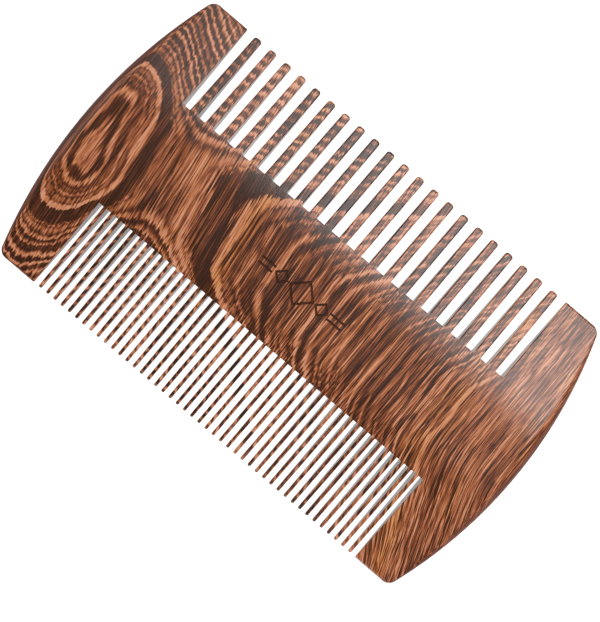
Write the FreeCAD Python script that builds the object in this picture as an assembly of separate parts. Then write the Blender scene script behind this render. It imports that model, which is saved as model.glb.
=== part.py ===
"""Double-sided beard comb, sawn and sanded from one board of figured hardwood.

The board lies flat. +X runs along its length, +Y towards the coarse teeth and +Z up out of
the engraved face. The origin is the middle of the flat band that it rests on.

The real comb is one piece of wood. Its nodes are the regions of that board: the spine between
the two lines of slot bottoms, the four solid corner guards, and the two rows of teeth. They
meet face to face where the saw cuts stop, so every gap between teeth stays open.
"""
import FreeCAD, Part
import math
import os
from collections import namedtuple

# Board, mm
LENGTH = 101.4             # between the outermost points of the two bowed ends
WIDTH = 59.6               # coarse tips to fine tips
THICKNESS = 6.5            # of the flat middle band
FLAT_WIDTH = 9.0           # of the flat middle band
FACE_RADIUS = 64.0         # of the curve from the flat band into the taper, seen from an end
TIP_RADIUS = 0.5           # the nose that both tapers run into along each long edge
CORNER_RADIUS = 1.3        # of the board's four corners, seen from above
LEFT_BOW = 98.0            # radius of the left end, seen from above
RIGHT_BOW = 88.0           # radius of the right end, seen from above
RIGHT_BOW_CENTRE_Y = -1.5  # the right end stands out furthest a little to the fine side
END_ROUND = 2.4            # reach of the rounding of each end, in from the outline
END_BULGE = 0.15           # how far the rounding's arc passes outside the upright edge

# Rows of teeth, mm. side is the sign of Y, root the distance of the slot bottoms from the
# middle, shift how far the row's middle is from the board's, and tip_round the rounding of a
# tip's corners.
Row = namedtuple("Row", "side teeth pitch slot root shift tip_round")
COARSE = Row(side=1, teeth=21, pitch=3.50, slot=1.84, root=11.9, shift=-0.5, tip_round=0.6)
FINE = Row(side=-1, teeth=44, pitch=1.703, slot=1.08, root=11.2, shift=0.1, tip_round=0.28)

# Engraved ornament: three lozenges in a line between two pairs of bars, mm
GROOVE_WIDTH = 0.4
GROOVE_DEPTH = 0.25
BIG_LOZENGE = 2.6          # half diagonal of the middle lozenge
SMALL_LOZENGE = 1.3        # half diagonal of the two beside it
LOZENGE_SPACING = 4.6
BAR_START = 6.4            # inner end of each bar, from the middle
BAR_LENGTH = 3.2
BAR_GAP = 1.2              # between the middle lines of a pair of bars

# Worked out from the above
MID_Z = THICKNESS / 2
HALF_LENGTH = LENGTH / 2
HALF_WIDTH = WIDTH / 2
CLEAR = 5.0                # how far cutting blocks pass outside the board

X_AXIS = FreeCAD.Vector(1, 0, 0)
Z_AXIS = FreeCAD.Vector(0, 0, 1)


def point(x, y, z=0.0):
    return FreeCAD.Vector(x, y, z)


def block(x_range, y_range):
    """An upright block between two X and two Y values, taller than the board."""
    size_x = x_range[1] - x_range[0]
    size_y = y_range[1] - y_range[0]
    return Part.makeBox(size_x, size_y, THICKNESS + 2 * CLEAR, point(x_range[0], y_range[0], -CLEAR))


def upright_edges(shape):
    """The straight edges of a shape that run along Z."""
    return [edge for edge in shape.Edges
            if isinstance(edge.Curve, Part.Line) and abs(edge.tangentAt(edge.FirstParameter).z) > 0.99]


def tapered_bar():
    """The board's cross-section as a long bar: a flat band that curves into two tapered sides."""
    nose_middle = HALF_WIDTH - TIP_RADIUS
    across_gap = nose_middle - FLAT_WIDTH / 2
    down_gap = FACE_RADIUS - MID_Z
    taper = (math.atan2(across_gap, down_gap)
             - math.acos((FACE_RADIUS - TIP_RADIUS) / math.hypot(across_gap, down_gap)))

    def on_arc(side, face, middle_y, middle_z, radius, angle):
        """A point of the outline, from its arc's middle on the coarse side of the upper face."""
        y = side * (middle_y + radius * math.sin(angle))
        z = MID_Z + face * (middle_z + radius * math.cos(angle))
        return point(-HALF_LENGTH - CLEAR, y, z)

    def on_face(side, face, angle):
        return on_arc(side, face, FLAT_WIDTH / 2, -down_gap, FACE_RADIUS, angle)

    def on_nose(side, face, angle):
        return on_arc(side, face, nose_middle, 0, TIP_RADIUS, angle)

    edges = []
    for face in (-1, 1):
        edges.append(Part.makeLine(on_face(-1, face, 0), on_face(1, face, 0)))
        for side in (-1, 1):
            curve = [on_face(side, face, angle) for angle in (0, taper / 2, taper)]
            edges.append(Part.Arc(*curve).toShape())
            edges.append(Part.makeLine(curve[-1], on_nose(side, face, taper)))
    for side in (-1, 1):
        crown = on_nose(side, 1, math.pi / 2)
        edges.append(Part.Arc(on_nose(side, 1, taper), crown, on_nose(side, -1, taper)).toShape())
    outline = Part.Wire(Part.__sortEdges__(edges))
    return Part.Face(outline).extrude(X_AXIS * (LENGTH + 2 * CLEAR))


def bow_centre(end):
    """Centre of the circle that an end's outline lies on: end is -1 on the left, 1 on the right."""
    if end < 0:
        return point(-HALF_LENGTH + LEFT_BOW, 0)
    return point(HALF_LENGTH - RIGHT_BOW, RIGHT_BOW_CENTRE_Y)


def bow_radius(end):
    return LEFT_BOW if end < 0 else RIGHT_BOW


def outline_prism():
    """The board's outline from above, with bowed ends and rounded corners, as an upright prism."""
    def bow_point(end, y):
        centre = bow_centre(end)
        return point(centre.x + end * math.sqrt(bow_radius(end) ** 2 - (y - centre.y) ** 2), y, -CLEAR)

    corners = [[bow_point(end, side * HALF_WIDTH) for side in (-1, 1)] for end in (-1, 1)]
    (left_low, left_high), (right_low, right_high) = corners
    outline = Part.Wire([Part.makeLine(left_low, right_low),
                         Part.Arc(right_low, bow_point(1, bow_centre(1).y), right_high).toShape(),
                         Part.makeLine(right_high, left_high),
                         Part.Arc(left_high, bow_point(-1, bow_centre(-1).y), left_low).toShape()])
    prism = Part.Face(outline).extrude(Z_AXIS * (THICKNESS + 2 * CLEAR))
    return prism.makeFillet(CORNER_RADIUS, upright_edges(prism))


def end_barrel(end):
    """A round barrel whose bulging side rounds over one end of the board, top and bottom."""
    centre = bow_centre(end)
    radius = bow_radius(end)
    shoulder = radius - END_ROUND

    def at(distance, z):
        return point(centre.x + distance, centre.y, z)

    path = [at(0, -CLEAR), at(shoulder, -CLEAR), at(shoulder, 0)]
    path_back = [at(shoulder, THICKNESS), at(shoulder, THICKNESS + CLEAR), at(0, THICKNESS + CLEAR)]
    side = Part.Arc(path[-1], at(radius + END_BULGE, MID_Z), path_back[0]).toShape()
    profile = Part.Wire(Part.makePolygon(path).Edges + [side] + Part.makePolygon(path_back).Edges
                        + [Part.makeLine(path_back[-1], path[0])])
    return Part.Face(profile).revolve(centre, Z_AXIS, 360)


def row_end(row, end):
    """X of the outer wall of a row's first (end -1) or last (end 1) slot."""
    return row.shift + end * (row.teeth * row.pitch + row.slot) / 2


def across(row, near, far):
    """A Y range on a row's side of the board, from two distances from the middle."""
    return sorted((row.side * near, row.side * far))


def tooth(bar, row, index):
    """One tooth: a slice of the tapered bar with a rounded tip."""
    middle = row.shift + (index - (row.teeth - 1) / 2) * row.pitch
    half = (row.pitch - row.slot) / 2
    slice_block = block((middle - half, middle + half), across(row, row.root, HALF_WIDTH))
    tip_edges = [edge for edge in upright_edges(slice_block)
                 if abs(edge.CenterOfMass.y) > HALF_WIDTH - row.tip_round]
    return bar.common(slice_block.makeFillet(row.tip_round, tip_edges)).Solids[0]


def tooth_row(bar, row):
    return Part.makeCompound([tooth(bar, row, index) for index in range(row.teeth)])


def guard(board, row, end):
    """The solid corner of the board beyond a row's last slot."""
    outside = end * (HALF_LENGTH + CLEAR)
    x_range = sorted((row_end(row, end), outside))
    return board.common(block(x_range, across(row, row.root, HALF_WIDTH + CLEAR))).Solids[0]


def lozenge_groove(x, half_diagonal):
    """The groove along the outline of one lozenge, centred at x."""
    def pyramid_base(half):
        corners = [point(x + half, 0), point(x, half), point(x - half, 0), point(x, -half)]
        return Part.Face(Part.makePolygon(corners + corners[:1])).extrude(Z_AXIS * 2 * GROOVE_DEPTH)

    widening = GROOVE_WIDTH / 2 * math.sqrt(2)
    return pyramid_base(half_diagonal + widening).cut(pyramid_base(half_diagonal - widening))


def bar_groove(side, y):
    """One straight groove beside the lozenges, on the left (side -1) or the right (1)."""
    near = side * BAR_START
    far = side * (BAR_START + BAR_LENGTH)
    start = point(min(near, far), y - GROOVE_WIDTH / 2)
    return Part.makeBox(BAR_LENGTH, GROOVE_WIDTH, 2 * GROOVE_DEPTH, start)


def ornament():
    """All grooves of the ornament, placed to cut GROOVE_DEPTH into the top face."""
    grooves = [lozenge_groove(0, BIG_LOZENGE)]
    for side in (-1, 1):
        grooves.append(lozenge_groove(side * LOZENGE_SPACING, SMALL_LOZENGE))
        grooves += [bar_groove(side, row * BAR_GAP / 2) for row in (-1, 1)]
    cutter = Part.makeCompound(grooves)
    cutter.translate(Z_AXIS * (THICKNESS - GROOVE_DEPTH))
    return cutter


def spine(board):
    """The middle of the board between the two lines of slot bottoms, with its ornament."""
    outside = HALF_LENGTH + CLEAR
    middle = block((-outside, outside), (-FINE.root, COARSE.root))
    return board.common(middle).cut(ornament()).Solids[0]


def build():
    bar = tapered_bar()
    board = bar.common(outline_prism())
    for end in (-1, 1):
        board = board.common(end_barrel(end))
    return {
        "spine": spine(board),
        "coarse_teeth": tooth_row(bar, COARSE),
        "fine_teeth": tooth_row(bar, FINE),
        "left_coarse_guard": guard(board, COARSE, -1),
        "right_coarse_guard": guard(board, COARSE, 1),
        "left_fine_guard": guard(board, FINE, -1),
        "right_fine_guard": guard(board, FINE, 1),
    }


os.makedirs("parts", exist_ok=True)
for name, shape in build().items():
    shape.exportStep(f"parts/{name}.step")
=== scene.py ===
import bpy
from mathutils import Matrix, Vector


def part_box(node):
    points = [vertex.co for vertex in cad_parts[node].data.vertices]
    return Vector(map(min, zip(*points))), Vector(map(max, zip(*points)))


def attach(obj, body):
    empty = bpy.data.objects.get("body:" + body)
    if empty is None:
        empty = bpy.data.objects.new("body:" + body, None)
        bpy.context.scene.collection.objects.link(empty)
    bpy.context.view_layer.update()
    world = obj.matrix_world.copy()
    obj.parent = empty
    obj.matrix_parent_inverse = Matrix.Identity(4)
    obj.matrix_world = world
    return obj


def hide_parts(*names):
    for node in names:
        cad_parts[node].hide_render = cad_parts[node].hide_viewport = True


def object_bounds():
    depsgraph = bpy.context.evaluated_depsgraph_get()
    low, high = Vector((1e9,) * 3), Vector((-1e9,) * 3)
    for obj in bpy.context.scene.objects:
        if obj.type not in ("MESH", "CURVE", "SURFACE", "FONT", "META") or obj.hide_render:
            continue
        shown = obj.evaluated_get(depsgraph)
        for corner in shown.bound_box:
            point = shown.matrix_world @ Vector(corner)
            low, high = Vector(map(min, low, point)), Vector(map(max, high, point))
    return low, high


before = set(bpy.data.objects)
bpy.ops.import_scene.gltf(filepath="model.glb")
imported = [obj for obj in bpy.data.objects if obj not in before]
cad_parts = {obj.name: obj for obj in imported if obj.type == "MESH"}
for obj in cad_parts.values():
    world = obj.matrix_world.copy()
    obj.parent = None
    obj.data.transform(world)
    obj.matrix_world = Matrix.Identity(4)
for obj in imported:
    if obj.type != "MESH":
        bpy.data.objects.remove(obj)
cad_box = [list(corner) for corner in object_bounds()]

# A double-sided beard comb cut from one board of figured hardwood, lying on a pale table.
#
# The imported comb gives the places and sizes. Each of its nodes is stood for by a mesh of the
# same shape with softened arrises, rounded tips and bullnosed ends, and all of them share one
# wood, a solid pattern of growth layers in the frame's coordinates, so the grain runs on from
# piece to piece as it does in the real board. Lengths are in metres, and the comb's are written
# as millimetres times MM.

import math
from collections import namedtuple

import bmesh
import bpy
from mathutils import Vector

MM = 0.001

# The board's shape where the frame's boxes don't give it
FLAT_HALF = 4.5 * MM            # half the width of the flat middle band
FACE_RADIUS = 64 * MM           # curve from the flat band into the taper
TIP_RADIUS = 0.5 * MM           # nose that both tapers run into
CORNER_RADIUS = 1.3 * MM        # of the four corners, seen from above
END_ROUND = 2.4 * MM            # reach of the ends' rounding at full thickness
Bow = namedtuple("Bow", "end radius middle_y")
LEFT_BOW = Bow(end=-1, radius=98 * MM, middle_y=0)
RIGHT_BOW = Bow(end=1, radius=88 * MM, middle_y=-1.5 * MM)

# How far the edges are softened
GUARD_SOFT = 0.22 * MM
SHARP = 0.012 * MM              # where a saw cut stops against a tooth
FADE = 0.7 * MM                 # along a tooth, from sharp at its root to fully softened
SLOT_SOFT = 0.8                 # in the middle of a slot's bottom, as a part of its row's softening
SLOT_FADE = 0.3                 # part of a slot's width in which that grows from sharp
FULLEST = 0.9                   # part of a slice's half width or height that its corners may take

# Where the meshes are sliced
CORNER_STEPS = 7                # segments of each rounded corner of a slice
SLOT_CORNER_STEPS = 5           # and of each edge along a slot's bottom
FADE_PARTS = (0, 0.25, 0.5, 1)
CURVE_STEP = 0.4 * MM
TAPER_STEP = 2.4 * MM
LAST_GAP = 0.05 * MM            # at least, between the taper's last slice and a tip or corner
TIP_DEGREES = range(0, 85, 12)
CORNER_DEGREES = range(0, 89, 8)
SLOT_PARTS = (0, 0.1, 0.2, 0.35, 0.65, 0.8, 0.9, 1)
SPINE_STEP = 0.75 * MM          # across the board
SPINE_MARGIN = 0.5 * MM         # kept free beside the slot bottoms' edges

WELD = 0.0005 * MM
SHARP_ANGLE = math.radians(38)
FLAT_FACE_WEIGHT = 80           # of the weighted normals

BOARD_LOW, BOARD_HIGH = (Vector(corner) for corner in cad_box)
HALF_LENGTH = (BOARD_HIGH.x - BOARD_LOW.x) / 2
HALF_WIDTH = (BOARD_HIGH.y - BOARD_LOW.y) / 2
MID_Z = (BOARD_HIGH.z + BOARD_LOW.z) / 2
HALF_THICKNESS = (BOARD_HIGH.z - BOARD_LOW.z) / 2


# ---------------------------------------------------------------- rows of teeth

# side is the sign of Y, first the middle of the first tooth and root the distance of the slot
# bottoms from the board's middle line, all measured on the frame's boxes
Row = namedtuple("Row", "node guards side count first pitch width root tip_round soft")


def measured_row(end, side, count, tip_round, soft):
    """A row of teeth, with its places taken from its own box and those of its two guards."""
    node = end + "_teeth"
    guards = ("left_" + end + "_guard", "right_" + end + "_guard")
    low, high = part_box(node)
    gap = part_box(guards[1])[0].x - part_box(guards[0])[1].x
    pitch = (high.x - low.x + gap) / (2 * count)
    width = pitch - (gap - (high.x - low.x)) / 2
    root = low.y if side > 0 else -high.y
    return Row(node, guards, side, count, low.x + width / 2, pitch, width, root, tip_round, soft)


COARSE = measured_row("coarse", side=1, count=21, tip_round=0.6 * MM, soft=0.3 * MM)
FINE = measured_row("fine", side=-1, count=44, tip_round=0.28 * MM, soft=0.13 * MM)


def slots(row):
    """The X range of every saw cut of a row."""
    start = row.first - row.pitch + row.width / 2
    return [(start + i * row.pitch, start + (i + 1) * row.pitch - row.width)
            for i in range(row.count + 1)]


# ---------------------------------------------------------------- the board's surfaces

def taper_angle():
    """Slope of the tapers: the common tangent of the face's curve and the nose."""
    across = HALF_WIDTH - TIP_RADIUS - FLAT_HALF
    down = FACE_RADIUS - HALF_THICKNESS
    to_nose = math.hypot(across, down)
    return math.atan2(across, down) - math.acos((FACE_RADIUS - TIP_RADIUS) / to_nose)


TAPER = taper_angle()
CURVE_END = FLAT_HALF + FACE_RADIUS * math.sin(TAPER)
NOSE_MIDDLE = HALF_WIDTH - TIP_RADIUS
NOSE_START = NOSE_MIDDLE + TIP_RADIUS * math.sin(TAPER)


def half_thickness(y):
    """Half of the board's thickness at y: flat, then curved, then tapered, then the nose."""
    distance = abs(y)
    if distance <= FLAT_HALF:
        return HALF_THICKNESS
    if distance <= CURVE_END:
        drop = FACE_RADIUS - math.sqrt(FACE_RADIUS ** 2 - (distance - FLAT_HALF) ** 2)
        return HALF_THICKNESS - drop
    if distance <= NOSE_START:
        return TIP_RADIUS * math.cos(TAPER) + (NOSE_START - distance) * math.tan(TAPER)
    return math.sqrt(max(TIP_RADIUS ** 2 - (distance - NOSE_MIDDLE) ** 2, 0))


def bow_x(bow, y):
    """X of an end's outline at y, with the board's corner rounded."""
    centre_x = bow.end * (HALF_LENGTH - bow.radius)
    x = centre_x + bow.end * math.sqrt(bow.radius ** 2 - (y - bow.middle_y) ** 2)
    into_corner = max(abs(y) - (HALF_WIDTH - CORNER_RADIUS), 0)
    return x - bow.end * (CORNER_RADIUS - math.sqrt(CORNER_RADIUS ** 2 - into_corner ** 2))


def end_reach(y):
    """How far the rounding of the ends reaches in at y: less where the board is thinner."""
    return END_ROUND * half_thickness(y) / HALF_THICKNESS


# ---------------------------------------------------------------- meshes from slices

def add_loft(mesh, rings):
    """Joins rings of points, which all have as many, into one closed skin."""
    loops = [[mesh.verts.new(p) for p in ring] for ring in rings]
    for before, after in zip(loops, loops[1:]):
        for i in range(len(before)):
            j = (i + 1) % len(before)
            mesh.faces.new((before[i], before[j], after[j], after[i]))
    mesh.faces.new(loops[0][::-1])
    mesh.faces.new(loops[-1])


def finish_mesh(mesh, name):
    """Cleans up a bmesh and turns it into an object."""
    bmesh.ops.remove_doubles(mesh, verts=mesh.verts, dist=WELD)
    bmesh.ops.dissolve_degenerate(mesh, edges=mesh.edges, dist=WELD)
    bmesh.ops.recalc_face_normals(mesh, faces=mesh.faces)
    data = bpy.data.meshes.new(name)
    mesh.to_mesh(data)
    mesh.free()
    piece = bpy.data.objects.new(name, data)
    bpy.context.scene.collection.objects.link(piece)
    return piece


def bake_modifiers(piece):
    """Replaces a piece's mesh with what its modifiers make of it."""
    bpy.context.view_layer.update()
    evaluated = piece.evaluated_get(bpy.context.evaluated_depsgraph_get())
    data = bpy.data.meshes.new_from_object(evaluated)
    piece.modifiers.clear()
    piece.data = data
    data.name = piece.name


def shade(piece):
    """Smooth shading with sharp edges kept, weighted so that flat faces stay flat."""
    piece.data.shade_smooth()
    piece.data.set_sharp_from_angle(angle=SHARP_ANGLE)
    weighted = piece.modifiers.new("weighted normals", "WEIGHTED_NORMAL")
    weighted.keep_sharp = True
    weighted.weight = FLAT_FACE_WEIGHT
    bake_modifiers(piece)


def quarter_turn(steps):
    """Evenly spaced angles from 0 to a quarter turn."""
    return [math.pi / 2 * i / steps for i in range(steps + 1)]


Side = namedtuple("Side", "x reach drop")    # one side of a slice: its X and its corners' rounding


def slice_ring(y, half, left, right):
    """A closed slice of the board at y, with elliptical corners on both sides."""
    ring = []
    steps = quarter_turn(CORNER_STEPS)
    for side, sign, faces in ((right, 1, (1, -1)), (left, -1, (-1, 1))):
        for face in faces:
            angles = steps if face == sign else steps[::-1]
            for angle in angles:
                x = side.x - sign * side.reach * (1 - math.sin(angle))
                z = half - side.drop * (1 - math.cos(angle))
                ring.append((x, y, MID_Z + face * z))
    return ring


def spread(start, end, step):
    """Evenly spaced values from start to end, no further apart than step."""
    count = max(1, math.ceil(abs(end - start) / step - 1e-6))
    return [start + (end - start) * i / count for i in range(count + 1)]


def body_stations(row, last):
    """Distances from the middle line at which a tooth or guard is sliced, from root to last."""
    fade = [row.root + FADE * part for part in FADE_PARTS]
    curve = spread(fade[-1], CURVE_END, CURVE_STEP)[1:]
    taper = spread(CURVE_END, NOSE_START, TAPER_STEP)[1:]
    return [d for d in fade + curve + taper if d < last - LAST_GAP]


def eased(part):
    """From 0 to 1 as part does, but starting and stopping gently."""
    part = min(max(part, 0), 1)
    return part * part * (3 - 2 * part)


def soft_at(distance, root, soft):
    """Rounding of a tooth's arrises, growing from sharp at the root."""
    return SHARP + (soft - SHARP) * eased((distance - root) / FADE)


# ---------------------------------------------------------------- pieces

def tooth_rings(row, middle):
    """Slices of one tooth, whose tip is rounded like a fingertip."""
    tip_start = HALF_WIDTH - row.tip_round
    places = [(distance, 0) for distance in body_stations(row, tip_start)]
    for angle in map(math.radians, TIP_DEGREES):
        distance = tip_start + row.tip_round * math.sin(angle)
        places.append((distance, row.tip_round * (1 - math.cos(angle))))
    rings = []
    for distance, narrowing in places:
        half = half_thickness(distance)
        half_wide = row.width / 2 - narrowing
        soft = soft_at(distance, row.root, row.soft)
        reach = min(soft, half_wide * FULLEST)
        drop = min(soft, half * FULLEST)
        left = Side(middle - half_wide, reach, drop)
        right = Side(middle + half_wide, reach, drop)
        rings.append(slice_ring(row.side * distance, half, left, right))
    return rings


def make_teeth(row):
    mesh = bmesh.new()
    for i in range(row.count):
        add_loft(mesh, tooth_rings(row, row.first + i * row.pitch))
    return finish_mesh(mesh, row.node + "_softened")


def make_guard(row, bow):
    """The solid corner beyond a row's last slot, bullnosed along the board's end."""
    node = row.guards[0 if bow.end < 0 else 1]
    low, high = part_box(node)
    inner_x = high.x if bow.end < 0 else low.x
    corner_start = HALF_WIDTH - CORNER_RADIUS
    corner = [corner_start + CORNER_RADIUS * math.sin(math.radians(a)) for a in CORNER_DEGREES]
    rings = []
    for distance in body_stations(row, corner_start) + corner:
        y = row.side * distance
        half = half_thickness(y)
        soft = min(soft_at(distance, row.root, GUARD_SOFT), half * FULLEST)
        tip_turn = max(distance - (HALF_WIDTH - GUARD_SOFT), 0)
        turned_in = GUARD_SOFT - math.sqrt(GUARD_SOFT ** 2 - tip_turn ** 2)
        inner = Side(inner_x + bow.end * turned_in, soft, soft)
        outer = Side(bow_x(bow, y), end_reach(y), half)
        left, right = (outer, inner) if bow.end < 0 else (inner, outer)
        rings.append(slice_ring(y, half, left, right))
    mesh = bmesh.new()
    add_loft(mesh, rings)
    return finish_mesh(mesh, node + "_softened")


def slot_soft(row, x):
    """Rounding of the slot bottoms' edges at x: none where a tooth or a guard stands."""
    for start, end in slots(row):
        from_wall = min(x - start, end - x)
        if from_wall > 0:
            grown = eased(from_wall / ((end - start) * SLOT_FADE))
            return SHARP + (row.soft * SLOT_SOFT - SHARP) * grown
    return SHARP


def spine_section(coarse_soft, fine_soft):
    """The (y, z) outline of the spine across the board, around from the coarse side's wall."""
    coarse_root, fine_root = COARSE.root, FINE.root
    steps = quarter_turn(SLOT_CORNER_STEPS)
    top = []
    for angle in steps:
        top.append((coarse_root - coarse_soft * (1 - math.cos(angle)),
                    half_thickness(coarse_root) - coarse_soft * (1 - math.sin(angle))))
    for y in spread(coarse_root - SPINE_MARGIN, -fine_root + SPINE_MARGIN, SPINE_STEP):
        top.append((y, half_thickness(y)))
    for angle in steps[::-1]:
        top.append((-fine_root + fine_soft * (1 - math.cos(angle)),
                    half_thickness(fine_root) - fine_soft * (1 - math.sin(angle))))
    return top + [(y, -z) for y, z in reversed(top)]


def spine_end_rings(bow):
    """Sections around the rounding of one end, from its foot out to the outline."""
    section = spine_section(SHARP, SHARP)
    rings = []
    for angle in quarter_turn(CORNER_STEPS):
        inwards = bow.end * (1 - math.sin(angle))
        rings.append([(bow_x(bow, y) - end_reach(y) * inwards, y, MID_Z + z * math.cos(angle))
                      for y, z in section])
    return rings


def spine_rings():
    """Sections along the board, closer together where they cross the saw cuts and the ends."""
    lines = set()
    for row in (COARSE, FINE):
        for start, end in slots(row):
            lines.update(start + (end - start) * part for part in SLOT_PARTS)
    rings = spine_end_rings(LEFT_BOW)[::-1]
    for x in sorted(lines):
        section = spine_section(slot_soft(COARSE, x), slot_soft(FINE, x))
        rings.append([(x, y, MID_Z + z) for y, z in section])
    return rings + spine_end_rings(RIGHT_BOW)


# ---------------------------------------------------------------- engraved ornament

GROOVE_HALF = 0.21 * MM
GROOVE_FLOOR_HALF = 0.08 * MM
GROOVE_DEPTH = 0.25 * MM
GROOVE_RISE = 0.2 * MM          # how far the cutters stand out of the face
BIG_LOZENGE = 2.6 * MM          # half diagonals
SMALL_LOZENGE = 1.3 * MM
LOZENGE_SPACING = 4.6 * MM
BAR_START = 6.4 * MM
BAR_LENGTH = 3.2 * MM
BAR_GAP = 1.2 * MM


def groove_profile():
    """(offset from the groove's middle line, height) of the cutter's four corners."""
    top = BOARD_HIGH.z + GROOVE_RISE
    floor = BOARD_HIGH.z - GROOVE_DEPTH
    wall = (GROOVE_HALF - GROOVE_FLOOR_HALF) * GROOVE_RISE / GROOVE_DEPTH
    return ((GROOVE_HALF + wall, top), (-GROOVE_HALF - wall, top),
            (-GROOVE_FLOOR_HALF, floor), (GROOVE_FLOOR_HALF, floor))


def add_lozenge_cutter(mesh, x, half_diagonal):
    """A closed, mitred groove cutter around a lozenge."""
    loops = []
    for offset, z in groove_profile():
        reach = half_diagonal + offset * math.sqrt(2)
        corners = ((reach, 0), (0, reach), (-reach, 0), (0, -reach))
        loops.append([mesh.verts.new((x + dx, dy, z)) for dx, dy in corners])
    for one, other in zip(loops, loops[1:] + loops[:1]):
        for k in range(4):
            n = (k + 1) % 4
            mesh.faces.new((one[k], one[n], other[n], other[k]))


def add_bar_cutter(mesh, x, y):
    """A straight groove cutter, tapered at its ends as along its sides."""
    rings = []
    for end in (-1, 1):
        ring = []
        for offset, z in groove_profile():
            shorten = GROOVE_HALF - abs(offset)
            ring.append((x + end * (BAR_LENGTH / 2 - shorten), y + offset, z))
        rings.append(ring)
    add_loft(mesh, rings)


def ornament_cutter():
    mesh = bmesh.new()
    add_lozenge_cutter(mesh, 0, BIG_LOZENGE)
    for side in (-1, 1):
        add_lozenge_cutter(mesh, side * LOZENGE_SPACING, SMALL_LOZENGE)
        for line in (-1, 1):
            add_bar_cutter(mesh, side * (BAR_START + BAR_LENGTH / 2), line * BAR_GAP / 2)
    return finish_mesh(mesh, "ornament_cutter")


def engrave(piece, material):
    """Cuts the ornament into a piece, and gives the grooves' walls a material of their own."""
    cutter = ornament_cutter()
    cutter.data.materials.append(material)
    cut = piece.modifiers.new("engrave", "BOOLEAN")
    cut.operation = "DIFFERENCE"
    cut.solver = "EXACT"
    cut.material_mode = "TRANSFER"
    cut.object = cutter
    bake_modifiers(piece)
    bpy.data.objects.remove(cutter)


# ---------------------------------------------------------------- node arithmetic

RISE_LIMIT = 40.0               # a ramp stops rising this many of its softnesses on


class Field:
    """A number at each point of a material, combined with ordinary arithmetic."""

    def __init__(self, tree, socket):
        self.tree = tree
        self.socket = socket

    def math(self, operation, *others):
        node = self.tree.nodes.new("ShaderNodeMath")
        node.operation = operation
        for target, value in zip(node.inputs, (self, *others)):
            if isinstance(value, Field):
                self.tree.links.new(value.socket, target)
            else:
                target.default_value = value
        return Field(self.tree, node.outputs[0])

    def __add__(self, other):
        return self.math("ADD", other)

    def __sub__(self, other):
        return self.math("SUBTRACT", other)

    def __mul__(self, other):
        return self.math("MULTIPLY", other)

    def __truediv__(self, other):
        return self.math("DIVIDE", other)

    def square(self):
        return self * self

    def towards(self, target, amount):
        """Moved towards a target by a part of the way, 0 to 1."""
        return self + (self * -1 + target) * amount

    def bell(self, middle, width):
        """1 at the middle, falling off as a bell of that half width."""
        return ((self - middle) / width).square().math("MULTIPLY", -1).math("EXPONENT")

    def ramp_up(self, start, softness):
        """0 below start, then rising one for one, with a soft bend."""
        above = ((self - start) / softness).math("MINIMUM", RISE_LIMIT)
        return (above.math("EXPONENT") + 1).math("LOGARITHM", math.e) * softness

    def step(self, low, high, before=0.0, after=1.0):
        """A smooth change from one value to another as the number passes from low to high."""
        node = self.tree.nodes.new("ShaderNodeMapRange")
        node.interpolation_type = "SMOOTHSTEP"
        node.inputs["From Min"].default_value = low
        node.inputs["From Max"].default_value = high
        node.inputs["To Min"].default_value = before
        node.inputs["To Max"].default_value = after
        self.tree.links.new(self.socket, node.inputs["Value"])
        return Field(self.tree, node.outputs["Result"])

    def clamp(self):
        node = self.tree.nodes.new("ShaderNodeClamp")
        self.tree.links.new(self.socket, node.inputs["Value"])
        return Field(self.tree, node.outputs["Result"])


def split(tree, vector):
    """The three parts of a vector."""
    node = tree.nodes.new("ShaderNodeSeparateXYZ")
    tree.links.new(vector, node.inputs[0])
    return [Field(tree, socket) for socket in node.outputs]


def noise(places, detail, roughness=0.5):
    """Noise from -1 to 1 with features about one unit across, over one number or three."""
    tree = places[0].tree
    node = tree.nodes.new("ShaderNodeTexNoise")
    node.inputs["Scale"].default_value = 1.0
    node.inputs["Detail"].default_value = detail
    node.inputs["Roughness"].default_value = roughness
    if len(places) == 1:
        node.noise_dimensions = "1D"
        tree.links.new(places[0].socket, node.inputs["W"])
    else:
        vector = tree.nodes.new("ShaderNodeCombineXYZ")
        for target, place in zip(vector.inputs, places):
            tree.links.new(place.socket, target)
        tree.links.new(vector.outputs[0], node.inputs["Vector"])
    return (Field(tree, node.outputs["Fac"]) - 0.5) * 2


def lookup(field, stops):
    """The colour that a field's value finds in a list of (place, colour or lightness) stops."""
    node = field.tree.nodes.new("ShaderNodeValToRGB")
    ramp = node.color_ramp
    while len(ramp.elements) < len(stops):
        ramp.elements.new(1.0)
    for element, (place, value) in zip(ramp.elements, stops):
        element.position = place
        element.color = (*value, 1) if isinstance(value, tuple) else (value, value, value, 1)
    field.tree.links.new(field.socket, node.inputs["Fac"])
    return node.outputs["Color"]


def multiplied(colour, other, amount):
    """A colour multiplied by another that is the same everywhere, as far as amount says."""
    node = amount.tree.nodes.new("ShaderNodeMix")
    node.data_type = "RGBA"
    node.blend_type = "MULTIPLY"
    sockets = {socket.identifier: socket for socket in (*node.inputs, *node.outputs)}
    sockets["B_Color"].default_value = (*other, 1)
    amount.tree.links.new(amount.socket, sockets["Factor_Float"])
    amount.tree.links.new(colour, sockets["A_Color"])
    return sockets["Result_Color"]


def srgb(hexcode):
    """Linear colour of an sRGB hex code."""
    parts = [int(hexcode[i:i + 2], 16) / 255 for i in (0, 2, 4)]
    return tuple(c / 12.92 if c <= 0.04045 else ((c + 0.055) / 1.055) ** 2.4 for c in parts)


# ---------------------------------------------------------------- wood

# Places in the wood are in mm. A change along one is (from, to, value before, value after), and
# only (from, to) where it goes from 0 to 1. Lightness goes from 0 to 1.

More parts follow.
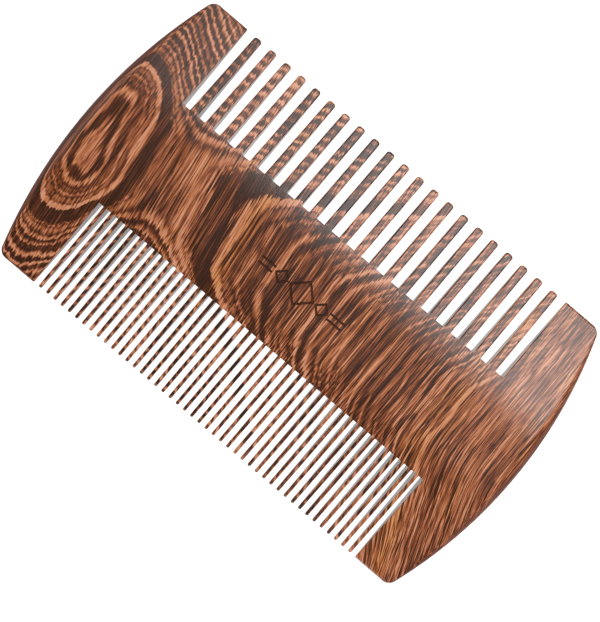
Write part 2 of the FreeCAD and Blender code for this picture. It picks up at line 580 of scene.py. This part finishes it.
# Growth layers. The layer number rises through the board, rolls over a ridge under the left
# end and climbs to the right, so that the curved faces cut it into rings, arcs and cross bands.
LAYERS_PER_MM = 2.3             # through the thickness
RIDGE_X, RIDGE_WIDTH = -46.0, 8.1
RIDGE_HEIGHT, RIDGE_FALL = 3.4, 0.04    # layers under the ridge, and lost per mm to the coarse side
HOLLOW_X, HOLLOW_WIDTH, HOLLOW_FALL = -27.0, 8.0, 0.025
Slope = namedtuple("Slope", "start softness layers_per_mm")
SLOPES = (Slope(-27.0, 1.5, 0.14), Slope(-4.0, 1.5, 0.06), Slope(8.0, 5.0, 0.12),
          Slope(22.0, 5.0, 0.13), Slope(38.0, 4.0, 0.3))
FIBRE_LEAN, LEAN_X, LEAN_WIDTH = 0.17, -22.0, 24.0

# The fibres' sweep into the right fine corner
SWEEP_X = (24.0, 42.0)
SWEEP_Y, SWEEP_SOFTNESS, SWEEP_LEAN = -5.0, 2.0, 0.4

# Noises in the wood, by the lengths of their features in mm
Grain = namedtuple("Grain", "across along deep detail")
WANDER = Grain(12, 16, 5, 1)
RIPPLE = Grain(3.5, 7, 2, 1)
FIBRE = Grain(0.33, 6, 0.45, 1)
STREAK = Grain(0.27, 13, 1.2, 1)
HAIR = Grain(0.18, 8, 0.9, 0)
PORE = Grain(0.16, 2.5, 0.5, 0)
BROAD = Grain(2.2, 22, 6, 1)
GOLD = Grain(2.5, 18, 3, 1)
WANDER_MM, RIPPLE_MM = 1.4, 0.8                 # how far the first two shift the layers
FIBRE_LAYERS, STREAK_LAYERS = 0.2, 0.08         # how far the next two feather the layers' edges

# Lightness of the layers that show in the middle of the face, as (layer, lightness)
FIGURE_FROM, FIGURE_TO = -0.9, 3.6
FIGURE = ((-0.9, 0.08), (-0.74, 0.1), (-0.66, 0.8), (-0.54, 0.5), (-0.44, 0.06), (-0.34, 0.1),
          (-0.26, 0.85), (-0.12, 0.7), (-0.02, 0.15), (0.2, 0.7), (0.36, 0.6), (0.42, 0.2),
          (0.52, 0.65), (0.6, 0.1), (0.7, 0.04), (1.36, 0.04), (1.44, 0.95), (1.7, 0.86),
          (1.79, 0.24), (1.9, 0.5), (2.06, 0.5), (2.14, 0.1), (2.32, 0.75), (2.42, 0.2),
          (2.62, 0.4), (2.72, 0.08), (2.92, 0.85), (3.04, 0.7), (3.12, 0.08), (3.3, 0.1),
          (3.42, 0.8), (3.6, 0.7))
FIGURE_IN = (-0.9, -0.8)
FIGURE_OUT = (3.4, 3.6, 1, 0)

# The other layers: uneven stripes, and below the figure even ones with a period in layers
STRIPE_PERIOD, STRIPE_AT, EVEN_CONTRAST = 0.55, -1.2, 0.34
EVEN_OUT = (0, 1, 1, 0)
UNEVEN_PER_LAYER, UNEVEN_DETAIL, UNEVEN_ROUGHNESS, UNEVEN_CONTRAST = 2.7, 2.0, 0.6, 1.3
STRIPE_LIGHT = 0.36

# Lighter and darker bands across the fibres, as (place, half width, lightness added)
ZONES = ((-24.2, 0.8, 0.14), (-28.0, 2.6, 0.06), (-32.6, 1.4, -0.3), (-20.5, 2.4, 0.2),
         (-17.0, 1.4, -0.34), (-11.8, 1.1, -0.14), (-7.4, 1.0, -0.16), (-2.5, 1.7, -0.32),
         (3.0, 1.2, 0.12), (10.7, 2.1, 0.18), (14.6, 1.4, -0.25), (22.8, 3.4, -0.12),
         (28.5, 2.6, 0.08), (34.0, 2.3, 0.22), (38.6, 1.4, -0.22))

# The calm wood of the right end
CALM_X, CALM_Y, CALM_LIGHT = (30, 43), (-4, 9, 0.5, 0.9), 0.56

# How the contrast of the layers, and then that of the fine grain, changes along the board
TONE_SCALE, TONE_LIFT = (0, 18, 1, 0.84), (0, 18, 0, 0.08)
LINE_EDGES, LINE_CONTRAST = (-0.35, 0.35), (28, 40, 0.34, 0.44)
HAIR_CONTRAST = (-44, -28, 0.3, 0.72)
GRAIN_LIFT = 0.02
BROAD_CONTRAST = (0, 15, 0, 0.3)
PORE_EDGES, PORE_DARKNESS = (0.1, 0.45), 0.34

# The ends' rim, where the rounding slants: there the figure is evened out and the colour darkened
# and reddened as painted shade. A slant is 0 lying flat and 1 upright
RIM_SLANT, RIM_X = (0.16, 0.5), (42, 46)
RIM_LIGHT, RIM_CALM = 0.42, 0.5
# Painted shade on the ends' rim, stronger at the left end than at the right
RIM_SHADE_TINT = (0.5, 0.33, 0.3)               # what the rim's colour is multiplied by
RIM_SHADE_STRENGTH = (-40, 40, 1, 0.6)

WOOD_COLOURS = ((0.0, srgb("311b11")), (0.2, srgb("4c2818")), (0.45, srgb("744028")),
                (0.7, srgb("9a5d3d")), (1.0, srgb("b57f62")))
GOLDEN = (1.0, 0.97, 0.67)              # and by what where the wood is golden
GOLD_EDGES, GOLD_PATCHES = (0, 0.5), 0.45
GOLDEN_ZONES = ((-14.3, 1.8), (33.0, 1.6))
GOLD_STRIPES = 0.7

ROUGHNESS, LIGHT_ROUGHNESS, HAIR_ROUGHNESS, RIM_ROUGHNESS = 0.29, -0.06, 0.05, 0.4
SPECULAR = 0.26
BUMP_STRENGTH, BUMP_DISTANCE, HAIR_BUMP = 0.35, 0.03 * MM, 0.5
PORE_BUMP_EDGES = (0.3, 0.7)
CHARRED = 0.75                          # how much darker the engraved grooves are


def grain_noise(grain, across, along, deep):
    """Noise from -1 to 1 at a place in the wood, drawn out as a grain says."""
    return noise((across / grain.across, along / grain.along, deep / grain.deep), grain.detail)


def across_fibres(x, y):
    """The place across the fibres, which lean a little in the left half of the board."""
    return x + y * x.bell(LEAN_X, LEAN_WIDTH) * FIBRE_LEAN


def corner_sweep(x, y):
    """How far the fibres have swept towards the right end in its fine corner."""
    return (y * -1).ramp_up(-SWEEP_Y, SWEEP_SOFTNESS) * x.step(*SWEEP_X) * SWEEP_LEAN


def growth_layers(x, y, z):
    """Which growth layer a place is in, as a number that rises through the wood."""
    wander = grain_noise(WANDER, x, y, z) * WANDER_MM
    ripple = grain_noise(RIPPLE, x, y, z) * RIPPLE_MM
    across = across_fibres(x, y) + wander + ripple
    ridge = across.bell(RIDGE_X, RIDGE_WIDTH) * (y * -RIDGE_FALL + RIDGE_HEIGHT)
    hollow = across.bell(HOLLOW_X, HOLLOW_WIDTH) * y * HOLLOW_FALL
    layer = ridge + hollow + (z - BOARD_HIGH.z / MM) * LAYERS_PER_MM
    for slope in SLOPES:
        layer = layer + across.ramp_up(slope.start, slope.softness) * slope.layers_per_mm
    return layer


def layer_light(layer):
    """Lightness of the growth layers: the figure's where it is listed, and stripes elsewhere."""
    span = FIGURE_TO - FIGURE_FROM
    stops = [((at - FIGURE_FROM) / span, light) for at, light in FIGURE]
    figure = Field(layer.tree, lookup((layer - FIGURE_FROM) / span, stops))
    even = ((layer - STRIPE_AT) * (2 * math.pi / STRIPE_PERIOD)).math("COSINE")
    even = even * layer.step(*EVEN_OUT) * EVEN_CONTRAST
    uneven = noise([layer * UNEVEN_PER_LAYER], UNEVEN_DETAIL, UNEVEN_ROUGHNESS) * UNEVEN_CONTRAST
    stripes = (uneven + even + STRIPE_LIGHT).clamp()
    return stripes.towards(figure, layer.step(*FIGURE_IN) * layer.step(*FIGURE_OUT))


def fine_grain(light, x, across, y, z, streak, hair, pores):
    """Lightness with the fibres' fine lines and the dark open pores added."""
    light = light * x.step(*TONE_SCALE) + x.step(*TONE_LIFT)
    lines = (streak.step(*LINE_EDGES) - 0.5) * x.step(*LINE_CONTRAST)
    light = light + lines + hair * x.step(*HAIR_CONTRAST) + GRAIN_LIFT
    light = light + grain_noise(BROAD, across, y, z) * x.step(*BROAD_CONTRAST)
    return (light - pores.step(*PORE_EDGES) * PORE_DARKNESS).clamp()


def end_rim(tree, x):
    """1 on the rounding of both ends, where it slants, and 0 elsewhere: where the painted shade
    goes.
    """
    normal = split(tree, tree.nodes.new("ShaderNodeNewGeometry").outputs["Normal"])
    slant = normal[2].square() * -1 + 1
    return slant.step(*RIM_SLANT) * x.math("ABSOLUTE").step(*RIM_X)


def wood_colour(light, x, across, y, z, rim):
    """The wood's colour for its lightness, with golden stretches and painted shade on the ends'
    rim.
    """
    golden = grain_noise(GOLD, across, y, z).step(*GOLD_EDGES) * GOLD_PATCHES
    for middle, width in GOLDEN_ZONES:
        golden = golden + across.bell(middle, width) * GOLD_STRIPES
    colour = multiplied(lookup(light, WOOD_COLOURS), GOLDEN, golden.clamp())
    # painted shade: the rim's colour darkened and reddened where the rounding stands upright
    return multiplied(colour, RIM_SHADE_TINT, rim * x.step(*RIM_SHADE_STRENGTH))


def add_bump(tree, shader, height):
    bump = tree.nodes.new("ShaderNodeBump")
    bump.inputs["Strength"].default_value = BUMP_STRENGTH
    bump.inputs["Distance"].default_value = BUMP_DISTANCE
    tree.links.new(height.socket, bump.inputs["Height"])
    tree.links.new(bump.outputs["Normal"], shader.inputs["Normal"])


def wood_material(name, charred=0.0):
    """The comb's wood. charred darkens it, for the walls and floors of engraved grooves."""
    material = bpy.data.materials.new(name)
    material.use_nodes = True
    tree = material.node_tree
    shader = tree.nodes["Principled BSDF"]
    place = tree.nodes.new("ShaderNodeTexCoord").outputs["Object"]
    x, y, z = (part * (1 / MM) for part in split(tree, place))
    across = across_fibres(x, y) - corner_sweep(x, y)
    fibre, streak, hair, pores = (grain_noise(grain, across, y, z)
                                  for grain in (FIBRE, STREAK, HAIR, PORE))

    feathered = growth_layers(x, y, z) + fibre * FIBRE_LAYERS + streak * STREAK_LAYERS
    light = layer_light(feathered)
    for middle, width, added in ZONES:
        light = light + across.bell(middle, width) * added
    light = light.towards(CALM_LIGHT, x.step(*CALM_X) * y.step(*CALM_Y))
    light = fine_grain(light, x, across, y, z, streak, hair, pores)
    if charred:
        light = light * (1 - charred)
    rim = end_rim(tree, x)
    # painted shade: on the ends' rim the figure is evened out towards a middle lightness
    light = light.towards(RIM_LIGHT, rim * RIM_CALM)

    tree.links.new(wood_colour(light, x, across, y, z, rim), shader.inputs["Base Color"])
    roughness = light * LIGHT_ROUGHNESS + ROUGHNESS + hair * HAIR_ROUGHNESS + rim * RIM_ROUGHNESS
    tree.links.new(roughness.socket, shader.inputs["Roughness"])
    shader.inputs["Specular IOR Level"].default_value = SPECULAR
    add_bump(tree, shader, hair * HAIR_BUMP - pores.step(*PORE_BUMP_EDGES))
    return material


# ---------------------------------------------------------------- stage

WHITE = (1, 1, 1, 1)
TABLE_HALF = 2.0
BACKDROP_HEIGHT = 0.5
TABLE_COLOUR = (0.25, 0.25, 0.25, 1)
TABLE_ROUGHNESS = 0.7
TABLE_GLOW = 1.0                # as in a light tent, so that the table stays white behind the comb
ROOM_LIGHT = 0.05

Softbox = namedtuple("Softbox", "name place size watts")
SOFTBOXES = (Softbox("key", place=(0.11, 0.26, 0.53), size=(0.42, 0.3), watts=4.2),
             Softbox("left fill", place=(-0.5, 0.05, 0.4), size=(0.4, 0.4), watts=1.2),
             Softbox("front fill", place=(0.22, -0.5, 0.35), size=(0.4, 0.4), watts=2.1))

CAMERA_LENS = 92.7              # mm, on Blender's own sensor
CAMERA_X, CAMERA_Y = 1.86 * MM, -2.59 * MM
CAMERA_HEIGHT = 285 * MM        # above the engraved face
CAMERA_TURN = math.radians(40.55)
CAMERA_NEAREST = 0.01           # the closest that it sees


def make_table():
    """A wide, nearly white table under the comb, with a low backdrop of the same all round."""
    material = bpy.data.materials.new("pale_table")
    material.use_nodes = True
    shader = material.node_tree.nodes["Principled BSDF"]
    shader.inputs["Base Color"].default_value = TABLE_COLOUR
    shader.inputs["Roughness"].default_value = TABLE_ROUGHNESS
    shader.inputs["Emission Color"].default_value = WHITE
    shader.inputs["Emission Strength"].default_value = TABLE_GLOW
    corners = [(x * TABLE_HALF, y * TABLE_HALF) for x, y in ((-1, -1), (1, -1), (1, 1), (-1, 1))]
    points = [(x, y, BOARD_LOW.z + z) for z in (0, BACKDROP_HEIGHT) for x, y in corners]
    sides = [(i, i + 4, (i + 1) % 4 + 4, (i + 1) % 4) for i in range(4)]
    data = bpy.data.meshes.new("table")
    data.from_pydata(points, [], [(0, 1, 2, 3)] + sides)
    data.materials.append(material)
    table = bpy.data.objects.new("table", data)
    bpy.context.scene.collection.objects.link(table)


def add_softbox(box):
    """A rectangular area light that faces the comb."""
    light = bpy.data.lights.new(box.name, "AREA")
    light.shape = "RECTANGLE"
    light.size, light.size_y = box.size
    light.energy = box.watts
    lamp = bpy.data.objects.new(box.name, light)
    lamp.location = box.place
    lamp.rotation_mode = "QUATERNION"
    lamp.rotation_quaternion = (-Vector(box.place)).to_track_quat("-Z", "Y")
    bpy.context.scene.collection.objects.link(lamp)


def light_studio():
    world = bpy.data.worlds.new("studio")
    bpy.context.scene.world = world
    world.use_nodes = True
    background = world.node_tree.nodes["Background"]
    background.inputs["Color"].default_value = WHITE
    background.inputs["Strength"].default_value = ROOM_LIGHT
    for box in SOFTBOXES:
        add_softbox(box)


def make_camera():
    """Straight above the comb, turned so that it lies along the picture's falling diagonal."""
    camera = bpy.data.objects.new("camera", bpy.data.cameras.new("camera"))
    camera.data.lens = CAMERA_LENS
    camera.data.clip_start = CAMERA_NEAREST
    camera.location = (CAMERA_X, CAMERA_Y, BOARD_HIGH.z + CAMERA_HEIGHT)
    camera.rotation_euler = (0, 0, CAMERA_TURN)
    bpy.context.scene.collection.objects.link(camera)
    bpy.context.scene.camera = camera


# ---------------------------------------------------------------- putting it together

def place_piece(piece, node, material):
    """Gives a piece its wood and lets it stand for its CAD node."""
    if not piece.data.materials:
        piece.data.materials.append(material)
    shade(piece)
    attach(piece, "root")
    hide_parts(node)


def make_comb():
    wood = wood_material("figured_wood")
    grooves = wood_material("engraved_wood", CHARRED)

    mesh = bmesh.new()
    add_loft(mesh, spine_rings())
    spine = finish_mesh(mesh, "spine_softened")
    spine.data.materials.append(wood)
    engrave(spine, grooves)
    place_piece(spine, "spine", wood)

    for row in (COARSE, FINE):
        place_piece(make_teeth(row), row.node, wood)
        for bow, node in zip((LEFT_BOW, RIGHT_BOW), row.guards):
            place_piece(make_guard(row, bow), node, wood)


bpy.context.scene.view_settings.view_transform = "Standard"
make_camera()
make_comb()
make_table()
light_studio()
